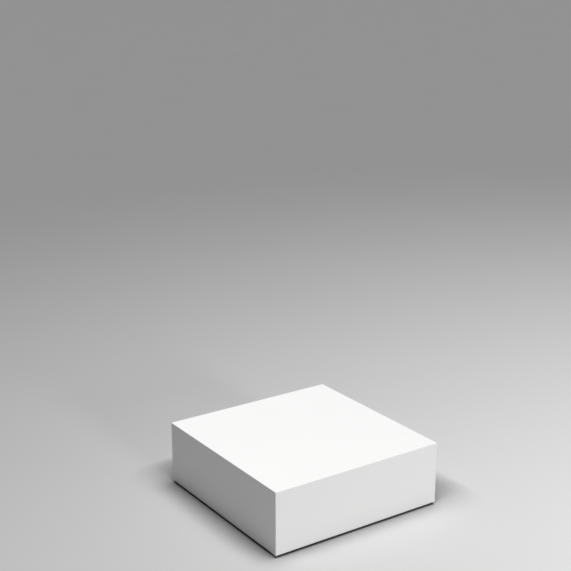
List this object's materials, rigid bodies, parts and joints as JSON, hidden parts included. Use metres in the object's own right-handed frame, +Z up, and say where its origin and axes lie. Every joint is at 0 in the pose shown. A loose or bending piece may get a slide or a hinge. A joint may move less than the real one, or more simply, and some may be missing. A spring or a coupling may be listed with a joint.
{
  "type": "display plinth",
  "caption": "Low square white gallery plinth, a mitred box open underneath, standing on screw feet that leave a thin shadow gap at the floor.",
  "frame": {"origin": "on the floor under the middle of the box, with the feet wound fully in", "axes": "+Z up, -Y out of the front panel, +X to the right seen from the front"},
  "size_m": [0.6, 0.6, 0.208],
  "materials": {
    "white_lacquer": "MDF sprayed with satin white lacquer",
    "raw_mdf": "raw MDF, sawn edges",
    "softwood": "planed pine, unfinished",
    "birch_plywood": "birch plywood, unfinished",
    "zinc_steel": "bright zinc-plated steel",
    "black_nylon": "moulded black nylon, fine texture",
    "black_rubber": "matt black rubber"
  },
  "bodies": {
    "carcass": {"top_panel": "white_lacquer", "front_panel": "white_lacquer", "front_top_tongue": "birch_plywood", "front_right_corner_tongue": "birch_plywood", "front_top_batten": "softwood", "front_bottom_rail": "softwood", "front_cleat_1": "softwood", "front_cleat_2": "softwood", "front_batten_screw_1": "zinc_steel", "front_batten_screw_2": "zinc_steel", "front_right_post": "softwood", "front_right_insert_nut": "zinc_steel", "right_panel": "white_lacquer", "right_top_tongue": "birch_plywood", "back_right_corner_tongue": "birch_plywood", "right_top_batten": "softwood", "right_bottom_rail": "softwood", "right_cleat_1": "softwood", "right_cleat_2": "softwood", "right_batten_screw_1": "zinc_steel", "right_batten_screw_2": "zinc_steel", "back_right_post": "softwood", "back_right_insert_nut": "zinc_steel", "back_panel": "white_lacquer", "back_top_tongue": "birch_plywood", "back_left_corner_tongue": "birch_plywood", "back_top_batten": "softwood", "back_bottom_rail": "softwood", "back_cleat_1": "softwood", "back_cleat_2": "softwood", "back_batten_screw_1": "zinc_steel", "back_batten_screw_2": "zinc_steel", "back_left_post": "softwood", "back_left_insert_nut": "zinc_steel", "left_panel": "white_lacquer", "left_top_tongue": "birch_plywood", "front_left_corner_tongue": "birch_plywood", "left_top_batten": "softwood", "left_bottom_rail": "softwood", "left_cleat_1": "softwood", "left_cleat_2": "softwood", "left_batten_screw_1": "zinc_steel", "left_batten_screw_2": "zinc_steel", "front_left_post": "softwood", "front_left_insert_nut": "zinc_steel", "rib_left_to_right": "raw_mdf", "rib_front_to_back": "raw_mdf"},
    "front_right_pad": {"front_right_foot_pad": "black_nylon", "front_right_foot_sole": "black_rubber"},
    "front_right_stem": {"front_right_foot_stem": "zinc_steel"},
    "back_right_pad": {"back_right_foot_pad": "black_nylon", "back_right_foot_sole": "black_rubber"},
    "back_right_stem": {"back_right_foot_stem": "zinc_steel"},
    "back_left_pad": {"back_left_foot_pad": "black_nylon", "back_left_foot_sole": "black_rubber"},
    "back_left_stem": {"back_left_foot_stem": "zinc_steel"},
    "front_left_pad": {"front_left_foot_pad": "black_nylon", "front_left_foot_sole": "black_rubber"},
    "front_left_stem": {"front_left_foot_stem": "zinc_steel"}
  },
  "joints": [
    {"name": "front_right_foot_travel", "type": "slide", "parent": "carcass", "child": "front_right_pad", "axis": [0, 0, -1], "range_m": [0, 0.015]},
    {"name": "front_right_foot_screw", "type": "hinge", "parent": "front_right_pad", "child": "front_right_stem", "pos_m": [0.26, -0.26, 0], "axis": [0, 0, -1], "range_deg": [0, 4320]},
    {"name": "back_right_foot_travel", "type": "slide", "parent": "carcass", "child": "back_right_pad", "axis": [0, 0, -1], "range_m": [0, 0.015]},
    {"name": "back_right_foot_screw", "type": "hinge", "parent": "back_right_pad", "child": "back_right_stem", "pos_m": [0.26, 0.26, 0], "axis": [0, 0, -1], "range_deg": [0, 4320]},
    {"name": "back_left_foot_travel", "type": "slide", "parent": "carcass", "child": "back_left_pad", "axis": [0, 0, -1], "range_m": [0, 0.015]},
    {"name": "back_left_foot_screw", "type": "hinge", "parent": "back_left_pad", "child": "back_left_stem", "pos_m": [-0.26, 0.26, 0], "axis": [0, 0, -1], "range_deg": [0, 4320]},
    {"name": "front_left_foot_travel", "type": "slide", "parent": "carcass", "child": "front_left_pad", "axis": [0, 0, -1], "range_m": [0, 0.015]},
    {"name": "front_left_foot_screw", "type": "hinge", "parent": "front_left_pad", "child": "front_left_stem", "pos_m": [-0.26, -0.26, 0], "axis": [0, 0, -1], "range_deg": [0, 4320]}
  ],
  "couplings": [
    {"joint": "front_right_foot_screw", "follows": "front_right_foot_travel", "rad_per_m": 5026.5},
    {"joint": "back_right_foot_screw", "follows": "back_right_foot_travel", "rad_per_m": 5026.5},
    {"joint": "back_left_foot_screw", "follows": "back_left_foot_travel", "rad_per_m": 5026.5},
    {"joint": "front_left_foot_screw", "follows": "front_left_foot_travel", "rad_per_m": 5026.5}
  ]
}
